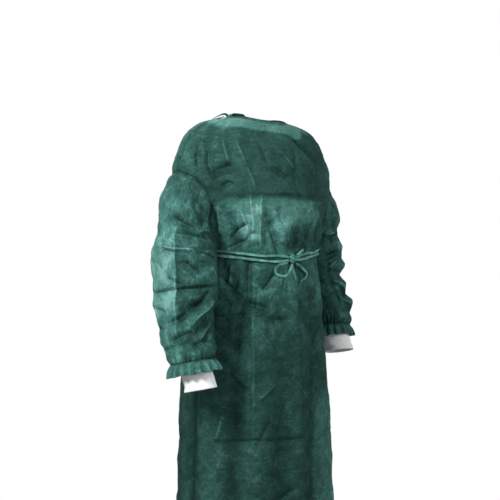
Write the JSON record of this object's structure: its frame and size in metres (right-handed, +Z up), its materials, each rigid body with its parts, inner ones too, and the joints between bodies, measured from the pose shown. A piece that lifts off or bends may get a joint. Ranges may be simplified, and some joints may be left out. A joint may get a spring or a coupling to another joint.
{
  "type": "surgical gown",
  "caption": "Worn long-sleeved spunbond gown, round bound neck, lapped back, gathered frilled sleeve ends over white knit cuffs, tie wound round the waist and bowed.",
  "frame": {"origin": "middle of the neck opening, level with the top of the back of the neck, where the wearer's shoulders carry the gown", "axes": "+Z up, -Y the way the wearer faces, +X the wearer's left"},
  "size_m": [0.6028, 0.3136, 1.1556],
  "materials": {
    "spunbond_green": "matte non-woven",
    "binding_green": "matte non-woven",
    "tie_green": "matte non-woven",
    "knit_white": "matte rib knit"
  },
  "bodies": {
    "root": {"front_panel": "spunbond_green", "back_panel_right": "spunbond_green", "back_panel_left": "spunbond_green", "sleeve_right": "spunbond_green", "sleeve_left": "spunbond_green", "sleeve_end_right": "spunbond_green", "sleeve_end_left": "spunbond_green", "knit_cuff_right": "knit_white", "knit_cuff_left": "knit_white", "neck_binding": "binding_green", "waist_tie_upper": "tie_green", "waist_tie_lower": "tie_green", "waist_knot": "tie_green", "bow_loop_right": "tie_green", "bow_end_left": "tie_green", "tie_end_hanging": "tie_green", "tie_end_short": "tie_green", "neck_tie_knot": "tie_green", "neck_tie_loop_right": "tie_green", "neck_tie_loop_left": "tie_green", "neck_tie_end_right": "tie_green", "neck_tie_end_left": "tie_green"}
  },
  "joints": []
}
